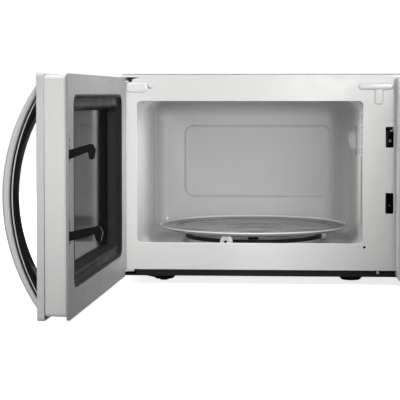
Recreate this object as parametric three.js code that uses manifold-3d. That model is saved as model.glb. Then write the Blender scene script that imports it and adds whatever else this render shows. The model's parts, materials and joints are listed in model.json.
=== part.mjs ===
// Countertop microwave oven with its door open: cabinet, door, latch, turntable and the works behind the panel.
// Millimetres, +Z up. The parts are drawn in cabinet coordinates: X = 0 on the cabinet's centre line, Y = 0 on the
// front plate's face with +Y to the back, Z = 0 on the counter. The door parts are drawn closed and then swung open.
import * as THREE from 'three';
import { mergeVertices } from 'three/addons/utils/BufferGeometryUtils.js';
import Module from 'manifold-3d';

const wasm = await Module();
wasm.setup();

// ---- driving dimensions ----
const GAP = 0.3;                 // clearance between pieces that touch
const SHEET = 0.8;               // sheet metal thickness
const CABINET = { halfWidth: 256.5, back: 356, top: 317, plateTop: 315.6, plateBottom: 22, baseBottom: 12.2 };
const DECK = CABINET.baseBottom + SHEET + GAP;   // what the heavy works stand on
const OPENING = { left: -232, right: 108, bottom: 62, top: 276, corner: 6 };
const CAVITY = { floor: 48, back: 336, corner: 10 };
const LIP = 5;                   // depth of the flange turned in round the oven opening
const DOOR = { left: -256.5, right: 155, bottom: 12, top: 312, outer: -40.5, inner: -1.5 };
const HINGE = { x: -253, y: -7, pinRadius: 2.6, openDegrees: 92.9 };
const HANDLE = { x: 130, width: 24, low: 21, high: 302, reach: 46, barThickness: 9.8, gapDepth: 29.5, gapLow: 58, gapHigh: 266 };
const LATCH = { x: 147, width: 6, slotLow: [107.5, 206.5], slotHeight: 31 };
const TRAY = { x: -60, y: 168, radius: 155, bottom: 67.6, thickness: 4, rim: 76 };
const ROLLER = { track: 115, radius: 9.5, width: 7, ringInner: 104, ringOuter: 111, firstAngle: 250 };
const PANEL = { left: 156.5, right: 256.5, front: -39.5, wall: 2.4 };
const LAMP = { y: 207, z: 211, radius: 21.5, bulge: 12 };
const FAN = { x: 182, z: 200, radius: 52, shroud: 300 };
const HINGE_SCREW = { x: -212, z: 298 };
const BASE_SCREW = { x: 130, z: 18.9 };
const FEET = [['front_left', -195, 48], ['front_right', 180, 48], ['rear_left', -195, 310], ['rear_right', 180, 310]];
const BOSS_WITHOUT_FOOT = [92, 48];
const BOSS_BOTTOM = 2.5;

// ---- materials ----
const material = (color, roughness, metalness = 0) => new THREE.MeshStandardMaterial({ color, roughness, metalness });
const WHITE_PAINT = material(0xe9e9e7, 0.35);
const CAVITY_PAINT = material(0xb4b5b6, 0.4);
const BLACK_PAINT = material(0x1b1b1c, 0.5);
const BLACK_PLASTIC = material(0x161617, 0.35);
const GREY_PLASTIC = material(0x55565a, 0.45);
const WHITE_PLASTIC = material(0xededeb, 0.3);
const SILVER = material(0xc9cbce, 0.3, 0.8);
const ZINC = material(0xb6babd, 0.4, 0.9);
const STEEL = material(0x8d8f92, 0.35, 0.9);
const TINTED_GLASS = material(0x0d0e10, 0.08);
const CLEAR_GLASS = material(0xcfd6d6, 0.05);
const MICA = material(0xb9ad94, 0.5);
const RUBBER = material(0x18181a, 0.8);
const BOARD = material(0x3f6b3c, 0.6);
const SCREEN = material(0x2b2c2e, 0.4, 0.5);

// ---- helpers ----
function solid(geometry) {
  const bare = geometry.clone();
  bare.deleteAttribute('normal');
  bare.deleteAttribute('uv');
  const merged = mergeVertices(bare, 1e-4);
  const vertProperties = new Float32Array(merged.attributes.position.array);
  const triVerts = new Uint32Array(merged.index.array);
  return new wasm.Manifold(new wasm.Mesh({ numProp: 3, vertProperties, triVerts }));
}

function toGeometry(manifold) {
  const { vertProperties, triVerts } = manifold.getMesh();
  const geometry = new THREE.BufferGeometry();
  geometry.setAttribute('position', new THREE.BufferAttribute(new Float32Array(vertProperties), 3));
  geometry.setIndex(new THREE.BufferAttribute(new Uint32Array(triVerts), 1));
  geometry.computeVertexNormals();
  return geometry;
}

function join(first, ...rest) {
  return toGeometry(rest.reduce((sum, piece) => sum.add(solid(piece)), solid(first)));
}

function cut(first, ...rest) {
  return toGeometry(rest.reduce((sum, piece) => sum.subtract(solid(piece)), solid(first)));
}

function box(x0, x1, y0, y1, z0, z1) {
  const geometry = new THREE.BoxGeometry(x1 - x0, y1 - y0, z1 - z0);
  return geometry.translate((x0 + x1) / 2, (y0 + y1) / 2, (z0 + z1) / 2);
}

function cylinder(axis, radius, from, to, a, b, sides = 24) {
  const geometry = new THREE.CylinderGeometry(radius, radius, to - from, sides);
  const middle = (from + to) / 2;
  if (axis === 'x') return geometry.rotateZ(Math.PI / 2).translate(middle, a, b);
  if (axis === 'y') return geometry.translate(a, middle, b);
  return geometry.rotateX(Math.PI / 2).translate(a, b, middle);
}

function extrude(shape, length, curveSegments = 12) {
  return new THREE.ExtrudeGeometry(shape, { depth: length, bevelEnabled: false, curveSegments });
}

// A shape drawn in X and Z, given its thickness along Y.
function slabXZ(shape, y0, y1, curveSegments) {
  return extrude(shape, y1 - y0, curveSegments).rotateX(Math.PI / 2).translate(0, y1, 0);
}

// A shape drawn in Y and Z, given its thickness along X.
function slabYZ(shape, x0, x1, curveSegments) {
  const turn = new THREE.Matrix4().set(0, 0, 1, 0, 1, 0, 0, 0, 0, 1, 0, 0, 0, 0, 0, 1);
  return extrude(shape, x1 - x0, curveSegments).applyMatrix4(turn).translate(x0, 0, 0);
}

function polygon(points) {
  return new THREE.Shape(points.map(([x, y]) => new THREE.Vector2(x, y)));
}

function roundedRectangle(left, right, bottom, top, radius, cornerSteps = 4) {
  const corners = [[right, bottom, -90], [right, top, 0], [left, top, 90], [left, bottom, 180]];
  const points = [];
  corners.forEach(([x, y, start]) => {
    const cx = x === right ? x - radius : x + radius;
    const cy = y === top ? y - radius : y + radius;
    for (let step = 0; step <= cornerSteps; step += 1) {
      const angle = THREE.MathUtils.degToRad(start + (90 * step) / cornerSteps);
      points.push([cx + radius * Math.cos(angle), cy + radius * Math.sin(angle)]);
    }
  });
  return points;
}

function frameShape(outer, inner) {
  const shape = polygon(outer);
  shape.holes.push(polygon(inner));
  return shape;
}

function grown([left, right, bottom, top], by) {
  return [left - by, right + by, bottom - by, top + by];
}

// A closed ring-shaped solid through loops of X-Z points, each at its own Y, the last joined to the first.
function loftRing(loops) {
  const count = loops[0].points.length;
  const positions = loops.flatMap(({ points, y }) => points.flatMap(([x, z]) => [x, y, z]));
  const index = [];
  loops.forEach((_, i) => {
    const next = (i + 1) % loops.length;
    for (let k = 0; k < count; k += 1) {
      const a = i * count + k;
      const b = i * count + ((k + 1) % count);
      const c = next * count + ((k + 1) % count);
      const d = next * count + k;
      index.push(a, c, b, a, d, c);
    }
  });
  const geometry = new THREE.BufferGeometry();
  geometry.setAttribute('position', new THREE.BufferAttribute(new Float32Array(positions), 3));
  geometry.setIndex(index);
  geometry.computeVertexNormals();
  return geometry;
}

function lathe(profile, sides, x = 0, y = 0, z = 0) {
  const points = profile.map(([r, h]) => new THREE.Vector2(r, h));
  return new THREE.LatheGeometry(points, sides).rotateX(Math.PI / 2).translate(x, y, z);
}

const parts = new THREE.Group();
const cabinetGroup = new THREE.Group();
const doorGroup = new THREE.Group();
parts.add(cabinetGroup, doorGroup);

function add(group, name, geometry, finish) {
  const mesh = new THREE.Mesh(geometry, finish);
  mesh.name = name;
  group.add(mesh);
  return mesh;
}

// ---- cabinet shell ----
function basePlate() {
  const x = CABINET.halfWidth - SHEET - GAP;
  const y0 = 2 * SHEET;
  const y1 = CABINET.back - SHEET - 2 * GAP;
  const { baseBottom: z0 } = CABINET;
  const wall = 14;
  let tray = solid(box(-x, x, y0, y1, z0, z0 + wall));
  tray = tray.subtract(solid(box(-x + SHEET, x - SHEET, y0 + SHEET, y1 - SHEET, z0 + SHEET, z0 + wall + 1)));
  tray = tray.subtract(solid(box(-x - 1, x + 1, y0 - 1, y0 + SHEET + 1, CABINET.plateBottom - GAP, z0 + wall + 1)));
  tray = tray.subtract(solid(box(-x - 1, -234, y0 - 1, y0 + 4, z0 + 2.6, z0 + wall + 1)));
  tray = tray.subtract(solid(cylinder('y', 1.8, 0, 6, BASE_SCREW.x, BASE_SCREW.z, 12)));
  const bosses = [...FEET.map(([, bx, by]) => [bx, by]), BOSS_WITHOUT_FOOT];
  bosses.forEach(([bx, by]) => {
    const outer = [[0, BOSS_BOTTOM], [14, BOSS_BOTTOM], [24, z0 + 0.1], [0, z0 + 0.1]];
    const inner = [[0, BOSS_BOTTOM + SHEET], [13, BOSS_BOTTOM + SHEET], [23.4, z0 + SHEET + 1], [0, z0 + SHEET + 1]];
    tray = tray.add(solid(lathe(outer, 16, bx, by)));
    tray = tray.subtract(solid(lathe(inner, 16, bx, by)));
  });
  [FEET[0], FEET[2]].forEach(([, fx, fy]) => {
    const ramp = (drop, x0, y, top) => {
      const outline = [[x0, z0 + top], [fx - 15, BOSS_BOTTOM + 3.4 + drop], [fx - 10, BOSS_BOTTOM + 3.4 + drop], [fx - 10, z0 + top]];
      return solid(slabXZ(polygon(outline), fy - y, fy + y));
    };
    tray = tray.add(ramp(0, -244, 16, 0.1)).subtract(ramp(SHEET, -240, 15.2, SHEET + 1));
  });
  FEET.forEach(([, fx, fy]) => {
    tray = tray.subtract(solid(cylinder('z', 3.2, 0, 10, fx, fy, 12)));
  });
  for (let i = 0; i < 7; i += 1) {
    tray = tray.subtract(solid(box(-120 + i * 22, -110 + i * 22, 262, 322, z0 - 1, z0 + SHEET + 1)));
  }
  return toGeometry(tray);
}

function foot(x, y) {
  return lathe([[0, 0], [6.4, 0], [7, 0.8], [7, 2.2], [2.9, 2.2], [2.9, 6.5], [0, 6.5]], 16, x, y);
}

function outerCover() {
  const w = CABINET.halfWidth;
  const z0 = 18;
  const bend = 6;
  const side = (inset) => {
    const points = [[w - inset, z0]];
    const r = bend - inset;
    for (let step = 0; step <= 3; step += 1) {
      const a = (Math.PI / 2) * (step / 3);
      points.push([w - bend + r * Math.cos(a), CABINET.top - bend + r * Math.sin(a)]);
    }
    return points;
  };
  const mirror = (points) => points.map(([x, z]) => [-x, z]).reverse();
  const outline = [...side(0), ...mirror(side(0)), ...mirror(side(SHEET)).reverse(), ...side(SHEET).reverse()];
  let shell = solid(slabXZ(polygon(outline), SHEET + GAP, CABINET.back));
  const louvre = (x, y, z) => box(x - 4, x + 4, y, y + 4, z, z + 32);
  for (let row = 0; row < 2; row += 1) {
    for (let i = 0; i < 12; i += 1) {
      shell = shell.subtract(solid(louvre(w, 226 + i * 9, 205 + row * 42)));
    }
    for (let i = 0; i < 10; i += 1) {
      shell = shell.subtract(solid(louvre(-w, 250 + i * 9, 60 + row * 42)));
    }
  }
  return toGeometry(shell);
}

function rearPanel() {
  const x = CABINET.halfWidth - SHEET - GAP;
  const y1 = CABINET.back - GAP;
  let panel = solid(box(-x, x, y1 - SHEET, y1, CABINET.baseBottom + 15, CABINET.top - SHEET - GAP - 4));
  for (let row = 0; row < 8; row += 1) {
    for (let i = 0; i < 3; i += 1) {
      const cx = FAN.x - 34 + i * 34;
      const cz = FAN.z - 45 + row * 13;
      panel = panel.subtract(solid(box(cx - 14, cx + 14, y1 - 3, y1 + 2, cz - 2.5, cz + 2.5)));
    }
  }
  for (let i = 0; i < 8; i += 1) {
    panel = panel.subtract(solid(box(-200 + i * 16, -190 + i * 16, y1 - 3, y1 + 2, 250, 256)));
  }
  panel = panel.subtract(solid(cylinder('y', 9.3, y1 - 3, y1 + 2, 215, 60, 20)));
  coverScrewPlaces().forEach(([sx, sz]) => {
    panel = panel.subtract(solid(cylinder('y', 2, y1 - 3, y1 + 2, sx, sz, 10)));
  });
  return toGeometry(panel);
}

function coverScrewPlaces() {
  const x = CABINET.halfWidth - 14;
  return [[-x, 296], [x, 296]];
}

// A screw whose head's underside lies at y, the head pointing to the back (1) or to the front (-1).
function screw(x, z, y, outward, headHeight, headRadius = 3.4) {
  const profile = [[0, -7], [1.5, -7], [1.5, 0], [headRadius, 0], [headRadius, headHeight / 2]];
  profile.push([headRadius - 0.8, headHeight], [0, headHeight]);
  const body = lathe(profile, 12);
  const turned = outward > 0 ? body.rotateX(-Math.PI / 2) : body.rotateX(Math.PI / 2);
  return turned.translate(x, y, z);
}

function frontPlate() {
  const w = CABINET.halfWidth - GAP;
  const { left, right, bottom, top, corner } = OPENING;
  const opening = roundedRectangle(left, right, bottom, top, corner);
  const { plateBottom: low, plateTop: high } = CABINET;
  const face = polygon([
    [-w, low], [w, low], [w, high - 5], [w - 1.5, high - 1.5], [w - 5, high],
    [-w + 5, high], [-w + 1.5, high - 1.5], [-w, high - 5],
  ]);
  face.holes.push(polygon(opening));
  face.holes.push(polygon([[-254, 303.8], [-239, 303.8], [-239, 308.6], [-228, 311.6], [-254, 311.6]]));
  LATCH.slotLow.forEach((z) => {
    const slot = roundedRectangle(LATCH.x - 5.9, LATCH.x + 5.9, z, z + LATCH.slotHeight, 1.5, 2);
    face.holes.push(polygon(slot));
  });
  face.holes.push(polygon([[186, 120], [236, 120], [236, 240], [186, 240]]));
  let plate = solid(slabXZ(face, 0, SHEET));
  const lipOuter = roundedRectangle(...grown([left, right, bottom, top], SHEET), corner + SHEET);
  plate = plate.add(solid(slabXZ(frameShape(lipOuter, opening), SHEET / 2, LIP)));
  plate = plate.add(solid(box(-w + 8, w - 8, SHEET / 2, 14, high - SHEET, high)));
  const rib = roundedRectangle(-247.5, -217, 290, 302, 5.9, 4);
  const bar = roundedRectangle(101.5, 151.5, 294, 302, 3.9, 4);
  const stem = polygon([[125.6, 272], [136.4, 272], [136.4, 296], [125.6, 296]]);
  [rib, bar].forEach((outline) => {
    plate = plate.add(solid(slabXZ(polygon(outline), -0.9, SHEET / 2)));
  });
  plate = plate.add(solid(slabXZ(stem, -0.6, SHEET / 2)));
  [[HINGE_SCREW.x, HINGE_SCREW.z], [109.8, 57]].forEach(([x, z]) => {
    plate = plate.subtract(solid(cylinder('y', 2, -2, 3, x, z, 12)));
  });
  return toGeometry(plate);
}

function cavityLiner() {
  const { left, right, top } = OPENING;
  const inner = [left, right, CAVITY.floor, top];
  const innerLoop = roundedRectangle(...inner, CAVITY.corner);
  const outerLoop = roundedRectangle(...grown(inner, SHEET), CAVITY.corner + SHEET);
  const y0 = LIP + GAP;
  let liner = solid(slabXZ(frameShape(outerLoop, innerLoop), y0, CAVITY.back));
  liner = liner.subtract(solid(cylinder('z', 6, CAVITY.floor - 3, CAVITY.floor + 3, TRAY.x, TRAY.y, 20)));
  liner = liner.subtract(solid(box(right - 2, right + 3, 48, 112, 100, 178)));
  liner = liner.subtract(solid(cylinder('x', 15, right - 3, right + 3, LAMP.y, LAMP.z, 20)));
  for (let row = 0; row < 6; row += 1) {
    const z = 200 + row * 9;
    liner = liner.subtract(solid(box(right - 3, right + 3, 22, 62, z, z + 4)));
  }
  return toGeometry(liner);
}

function cavityBackWall() {
  const { left, right, top } = OPENING;
  const outline = roundedRectangle(left - SHEET, right + SHEET, CAVITY.floor - SHEET, top + SHEET, CAVITY.corner);
  const emboss = [-184, 71, 107, 231];
  const y = CAVITY.back + GAP;
  const depth = 4;
  const plate = slabXZ(frameShape(outline, roundedRectangle(...emboss, 12)), y, y + SHEET);
  const slope = [
    { points: roundedRectangle(...emboss, 12), y },
    { points: roundedRectangle(...grown(emboss, -depth), 9), y: y + depth },
    { points: roundedRectangle(...grown(emboss, -depth), 9), y: y + depth + SHEET },
    { points: roundedRectangle(...grown(emboss, 0.6), 12.6), y: y + SHEET },
  ];
  const panel = slabXZ(polygon(roundedRectangle(...grown(emboss, -depth), 9)), y + depth, y + depth + SHEET);
  return join(plate, loftRing([...slope].reverse()), panel);
}

function waveguideCover() {
  const x = OPENING.right - GAP;
  return box(x - 1.2, x, 39, 121, 86, 192);
}

function lampDome() {
  const r = LAMP.radius;
  const b = LAMP.bulge;
  const outer = [[0, b], [r * 0.45, b * 0.9], [r * 0.8, b * 0.55], [r * 0.93, 1.2], [r + 3, 1.2], [r + 3, 0]];
  const inner = [[r * 0.86, 0], [r * 0.73, b * 0.5], [r * 0.4, b * 0.8], [0, b * 0.88]];
  const dome = lathe([...outer, ...inner].reverse(), 24);
  return dome.rotateY(-Math.PI / 2).translate(OPENING.right - GAP, LAMP.y, LAMP.z);
}

// ---- works in the right-hand compartment ----
function waveguideDuct() {
  const x = OPENING.right + SHEET + GAP;
  const duct = box(x, x + 26, 36, 216, 90, 186);
  const hollow = box(x - 1, x + 24.5, 38, 214, 92, 184);
  const antennaHole = cylinder('x', 13, x + 20, x + 30, 172, 138, 20);
  return cut(duct, hollow, antennaHole);
}

function magnetron() {
  const x = OPENING.right + SHEET + GAP + 26 + GAP;
  const pieces = [box(x, x + 2, 130, 214, 92, 184), cylinder('x', 11, x - 12, x + 1, 172, 138, 20)];
  pieces.push(cylinder('x', 22, x + 1, x + 62, 172, 138, 24));
  for (let i = 0; i < 5; i += 1) {
    pieces.push(box(x + 12 + i * 9, x + 13 + i * 9, 136, 208, 98, 178));
  }
  pieces.push(box(x + 60, x + 80, 148, 196, 118, 158));
  return join(...pieces);
}

function transformer() {
  const core = box(146, 232, 120, 196, DECK + 1.7, 88);
  const coil = roundedRectangle(164, 214, 104, 212, 12);
  const winding = extrude(polygon(coil), 34).translate(0, 0, 32);
  const flange = box(140, 238, 124, 192, DECK, 20);
  return join(core, winding, flange);
}

function capacitor() {
  const can = extrude(polygon(roundedRectangle(150, 202, 236, 268, 15.9)), 96).translate(0, 0, DECK);
  const tab = (x) => box(x - 3, x + 3, 251.6, 252.4, 108, 119);
  return join(can, tab(166), tab(186));
}

function fanShroud() {
  const { x, z, shroud: y } = FAN;
  let plate = solid(box(x - 70, x + 70, y, y + 1.6, z - 72, z + 72));
  plate = plate.subtract(solid(cylinder('y', FAN.radius + 2, y - 1, y + 3, x, z, 32)));
  const ringOuter = cylinder('y', FAN.radius + 3.6, y, y + 22, x, z, 32);
  plate = plate.add(solid(cut(ringOuter, cylinder('y', FAN.radius + 2, y - 1, y + 23, x, z, 32))));
  return toGeometry(plate);
}

function fanBlade() {
  const { x, z, shroud: y } = FAN;
  const bore = cylinder('y', 2.4, y + 1, y + 21, x, z, 12);
  const pieces = [cylinder('y', 13, y + 3, y + 18, x, z, 20)];
  for (let i = 0; i < 5; i += 1) {
    const blade = box(8, FAN.radius, -1, 1, -15, 15).rotateX(THREE.MathUtils.degToRad(28));
    pieces.push(blade.rotateY((i * 2 * Math.PI) / 5).translate(x, y + 11, z));
  }
  return cut(join(...pieces), bore);
}

function fanMotor() {
  const { x, z, shroud: y } = FAN;
  const stack = box(x - 26, x + 26, y + 30, y + 48, z - 30, z + 22);
  const coil = roundedRectangle(x - 14, x + 14, z - 46, z - 26, 4);
  const arm = box(x - 60, x + 60, y + 46, y + 48, z - 8, z + 8);
  const shaft = cylinder('y', 2, y + 4, y + 32, x, z, 12);
  return join(stack, slabXZ(polygon(coil), y + 26, y + 50), arm, shaft);
}

function filterBoard() {
  const plate = box(130, 200, 236, 290, 288, 289.6);
  return join(plate, box(138, 158, 244, 262, 289, 303), cylinder('z', 9, 289, 300, 180, 262, 20));
}

function ovenLamp() {
  const x = OPENING.right + SHEET + GAP;
  const socket = cylinder('x', 11, x + 22, x + 42, LAMP.y, LAMP.z, 20);
  const neck = cylinder('x', 6, x + 14, x + 23, LAMP.y, LAMP.z, 16);
  const bulb = new THREE.SphereGeometry(9, 16, 10).translate(x + 10, LAMP.y, LAMP.z);
  const flange = box(x + 38, x + 40, LAMP.y - 16, LAMP.y + 16, LAMP.z - 14, LAMP.z + 22);
  return join(socket, neck, bulb, flange);
}

function controlBoard() {
  const plate = box(166, 248, -27, -25.4, 60, 290);
  const relay = (z) => box(176, 200, -25.8, -10, z, z + 18);
  const supply = box(208, 242, -25.8, -4, 80, 112);
  const buzzer = cylinder('y', 8, -25.8, -16, 226, 150, 20);
  return join(plate, relay(200), relay(224), supply, buzzer);
}

function turntableMotor() {
  const top = CAVITY.floor - SHEET - GAP;
  const can = cylinder('z', 25, top - 18, top, TRAY.x, TRAY.y, 32);
  const ears = box(TRAY.x - 34, TRAY.x + 34, TRAY.y - 7, TRAY.y + 7, top - 1.6, top);
  return cut(join(can, ears), cylinder('z', 4, top - 10, top + 1, TRAY.x, TRAY.y, 16));
}

// ---- latch board and door switches ----
function latchBoard() {
  const plate = box(LATCH.x + 10, LATCH.x + 12.5, SHEET + GAP, 74, 92, 252);
  const flange = box(LATCH.x + 10, LATCH.x + 26, SHEET + GAP, SHEET + GAP + 2, 92, 252);
  const ledge = (z) => box(LATCH.x - 6, LATCH.x + 11, 8, 34, z - 8, z - 5);
  return join(plate, flange, ledge(LATCH.slotLow[0]), ledge(LATCH.slotLow[1]));
}

const SWITCHES = [[116, 46], [215, 42], [186, 52]];

function doorSwitch([z, y]) {
  const body = box(LATCH.x - 1, LATCH.x + 9.7, y + 3, y + 22, z - 14, z + 14);
  return cut(body, cylinder('y', 2.3, y + 2, y + 12, LATCH.x + 4, z, 12));
}

function switchPlunger([z, y]) {
  return cylinder('y', 2, y, y + 8, LATCH.x + 4, z, 12);
}

// ---- hinge plates ----
function hingePlate({ tab: [z0, z1], pin: [pinLow, pinHigh], flange: [flangeLow, flangeHigh], flangeRight }) {
  const ear = join(box(-256.1, -248.6, -12, -0.4, z0, z1), box(-253.6, -244.5, -1, SHEET + GAP + 1, z0, z1));
  const flange = box(-254.6, flangeRight, SHEET + GAP, SHEET + GAP + 2, flangeLow, flangeHigh);
  const pin = cylinder('z', HINGE.pinRadius, pinLow, pinHigh, HINGE.x, HINGE.y, 20);
  return cut(join(ear, flange, pin), cylinder('y', 2, 0, 6, HINGE_SCREW.x, HINGE_SCREW.z, 12));
}

// ---- control panel ----
function panelHousing() {
  const { left, right, front, wall } = PANEL;
  const outer = slabXZ(polygon(roundedRectangle(left, right, DOOR.bottom, DOOR.top, 4)), front, -GAP);
  const hollow = box(left + wall, right - wall, front + 3, 5, DOOR.bottom + wall, DOOR.top - wall);
  return cut(outer, hollow);
}

function panelPlate(z0, z1) {
  const outline = roundedRectangle(PANEL.left + 9, PANEL.right - 9, z0, z1, 3);
  return slabXZ(polygon(outline), PANEL.front - 1, PANEL.front - GAP);
}

// ---- turntable ----
function turntableCoupler() {
  const { x, y } = TRAY;
  const shaft = cylinder('z', 3.6, CAVITY.floor - 9, CAVITY.floor + 6, x, y, 16);
  const hub = cylinder('z', 9, CAVITY.floor + 2, CAVITY.floor + 18, x, y, 20);
  const lobes = [90, 210, 330].map((degrees) => {
    const lobe = box(0, 21, -5, 5, CAVITY.floor + 8, CAVITY.floor + 18);
    return lobe.rotateZ(THREE.MathUtils.degToRad(degrees)).translate(x, y, 0);
  });
  return join(hub, shaft, ...lobes);
}

function glassTray() {
  const { x, y, radius: r, bottom, thickness: t, rim } = TRAY;
  const profile = [[0, bottom], [r - 22, bottom], [r - 10, bottom + 1.6], [r - 2, rim - 3], [r, rim - 0.6]];
  profile.push([r - 1.2, rim], [r - 3.6, rim - 0.4], [r - 12, bottom + t + 1.4], [r - 24, bottom + t], [0, bottom + t]);
  const lugs = [30, 150, 270].map((degrees) => {
    const lug = box(11, 24, -6, 6, bottom - 5, bottom + 1);
    return lug.rotateZ(THREE.MathUtils.degToRad(degrees)).translate(x, y, 0);
  });
  return join(lathe(profile, 60, x, y), ...lugs);
}

const AXLE_HEIGHT = CAVITY.floor + ROLLER.radius + GAP;
const ROLLER_ANGLES = [0, 1, 2].map((i) => ROLLER.firstAngle + 120 * i);

function onRing(geometry, degrees) {
  return geometry.rotateZ(THREE.MathUtils.degToRad(degrees)).translate(TRAY.x, TRAY.y, AXLE_HEIGHT);
}

function rollerRing() {
  const { ringInner, ringOuter, track, width } = ROLLER;
  const profile = [[ringInner, -2.8], [ringOuter, -2.8], [ringOuter, 2.8], [ringInner, 2.8], [ringInner, -2.8]];
  const band = lathe(profile, 60, TRAY.x, TRAY.y, AXLE_HEIGHT);
  const axles = ROLLER_ANGLES.map((degrees) => {
    return onRing(cylinder('x', 2, ringOuter - 3, track + width / 2 + 2.4, 0, 0, 12), degrees);
  });
  return join(band, ...axles);
}

function rollerWheel(degrees) {
  const { track, radius, width } = ROLLER;
  const disc = cylinder('x', radius, track - width / 2 + GAP, track + width / 2, 0, 0, 28);
  return onRing(cut(disc, cylinder('x', 2.35, track - width, track + width, 0, 0, 12)), degrees);
}

// ---- door, drawn closed ----
const DOOR_WINDOW = [-196.5, 103.5, 68, 264];
const HINGE_NOTCH = 11.6;

function doorOuterFrame() {
  const { left, right, bottom, top, outer } = DOOR;
  const face = roundedRectangle(left, right, bottom, top, 5);
  const hole = roundedRectangle(-201, 101, 80, 250, 8);
  let frame = solid(slabXZ(frameShape(face, hole), outer, outer + 3));
  const skirtHole = roundedRectangle(left + 3, right - 3, bottom + 3, top - 3, 3);
  frame = frame.add(solid(slabXZ(frameShape(face, skirtHole), outer + 2, outer + 9)));
  handleScrewHeights().forEach((z) => {
    frame = frame.subtract(solid(cylinder('y', 2.4, outer - 1, outer + 4, HANDLE.x, z, 12)));
  });
  return toGeometry(frame);
}

function doorGlass() {
  const y = DOOR.outer + 3 + GAP;
  return slabXZ(polygon(roundedRectangle(-215, 112, 66, 264, 6)), y, y + 3.2);
}

function doorPan() {
  const rim = [-246, 152.2, 17.2, 308.8];
  const y0 = DOOR.outer + 9 + GAP;
  const y1 = -5;
  let pan = solid(slabXZ(frameShape(roundedRectangle(...rim, 5), roundedRectangle(...DOOR_WINDOW, 8)), y0, y0 + SHEET));
  const outerWall = frameShape(roundedRectangle(...rim, 5), roundedRectangle(...grown(rim, -SHEET), 4));
  pan = pan.add(solid(slabXZ(outerWall, y0 + SHEET / 2, y1)));
  const inner = frameShape(roundedRectangle(...grown(DOOR_WINDOW, SHEET), 9), roundedRectangle(...DOOR_WINDOW, 8));
  pan = pan.add(solid(slabXZ(inner, y0 + SHEET / 2, -21.9)));
  return toGeometry(pan);
}

function doorSheet(y0, y1) {
  return slabXZ(polygon(roundedRectangle(...grown(DOOR_WINDOW, 1.8), 8)), y0, y1);
}

const CHOKE = {
  rim: [DOOR.left, DOOR.right - 0.5, DOOR.bottom + 1, DOOR.top - 1],
  edge: [-216.5, 123.5, 47.5, 286],
  slope: [-200.5, 107.5, 64, 270],
  edgeRadius: 14,
  thickness: 2.8,
};

function doorTrimFrame() {
  const { rim, edge, edgeRadius, thickness } = CHOKE;
  const front = DOOR.inner;
  const ring = frameShape(roundedRectangle(...rim, 5), roundedRectangle(...edge, edgeRadius));
  let trim = solid(slabXZ(ring, front - thickness, front));
  const knuckle = (z0, z1) => box(-256.2, -247, -12.4, front - 1, z0, z1);
  trim = trim.add(solid(knuckle(288, 303.4))).add(solid(knuckle(22.2, 36)));
  const pinHole = (z0, z1) => cylinder('z', HINGE.pinRadius + GAP, z0, z1, HINGE.x, HINGE.y, 20);
  trim = trim.subtract(solid(pinHole(286, 305))).subtract(solid(pinHole(20, 38)));
  trim = trim.subtract(solid(cylinder('z', HINGE_NOTCH, 303.4, 307.2, HINGE.x, HINGE.y, 24)));
  trim = trim.subtract(solid(cylinder('z', HINGE_NOTCH, DOOR.bottom - 2, 22.2, HINGE.x, HINGE.y, 24)));
  LATCH.slotLow.forEach((z) => {
    trim = trim.subtract(solid(box(LATCH.x - 4.4, LATCH.x + 4.4, -9, 2, z - 2, z + 27)));
  });
  return toGeometry(trim);
}

function chokeCover() {
  const { edge, slope, edgeRadius, thickness } = CHOKE;
  const front = DOOR.inner;
  const seam = grown(edge, -GAP);
  const loop = (rectangle, radius, y) => ({ points: roundedRectangle(...rectangle, radius), y });
  return loftRing([
    loop(seam, edgeRadius - GAP, front - thickness),
    loop(seam, edgeRadius - GAP, front + 0.4),
    loop(grown(seam, -2.2), edgeRadius - 2.5, front + 0.4),
    loop(grown(seam, -4.2), edgeRadius - 4, front - 1.4),
    loop(slope, 11, front - 5.6),
    loop(DOOR_WINDOW, 8, front - 18),
    loop(grown(DOOR_WINDOW, 2), 9, front - 18),
    loop(grown(slope, 1.8), 12, front - 8),
    loop(grown(seam, -2), edgeRadius - 2, front - 4.6),
  ]);
}

function hook(z, length) {
  const tip = length;
  const outline = [
    [-9, z], [0, z + 1], [tip - 10, z + 9], [tip - 8, z + 1], [tip - 5, z], [tip - 2, z + 1.5],
    [tip, z + 12], [tip - 3, z + 18], [tip - 7, z + 19], [0, z + 12], [-9, z + 12],
  ];
  return slabYZ(polygon(outline), LATCH.x - LATCH.width / 2, LATCH.x + LATCH.width / 2);
}

function latchLever() {
  const bar = box(LATCH.x - 3, LATCH.x + 3, -17, -8.5, 96, 238);
  return join(bar, hook(LATCH.slotLow[0] + 1, 39), hook(LATCH.slotLow[1] + 1, 31));
}

const SPRING = { low: 238.3, high: 266, radius: 3.4, wire: 0.55, turns: 7 };

class Helix extends THREE.Curve {
  getPoint(t) {
    const angle = 2 * Math.PI * SPRING.turns * t;
    const z = SPRING.low + SPRING.wire + t * (SPRING.high - SPRING.low - 2 * SPRING.wire);
    return new THREE.Vector3(SPRING.radius * Math.cos(angle), SPRING.radius * Math.sin(angle), z);
  }
}

function latchSpring() {
  const section = new THREE.Shape().absarc(0, 0, SPRING.wire, 0, 2 * Math.PI);
  const path = new Helix();
  const options = { steps: SPRING.turns * 8, extrudePath: path, curveSegments: 3, bevelEnabled: false };
  return new THREE.ExtrudeGeometry(section, options).translate(LATCH.x, -13, 0);
}

// ---- handle: two nested bows standing off the door's outer face ----
function arcThrough(low, high, reach) {
  const half = (high - low) / 2;
  const radius = (half * half + reach * reach) / (2 * reach);
  const centre = (low + high) / 2;
  return { radius, centre, sweep: Math.asin(half / radius), reach };
}

// Points along a bow from its low end to its high end, as [Y, Z] off the door's outer face.
function bowPoints({ radius, centre, sweep, reach }, steps) {
  return Array.from({ length: steps + 1 }, (_, i) => {
    const angle = -sweep + (2 * sweep * i) / steps;
    const out = radius * Math.cos(angle) - (radius - reach);
    return [DOOR.outer - GAP - out, centre + radius * Math.sin(angle)];
  });
}

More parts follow.
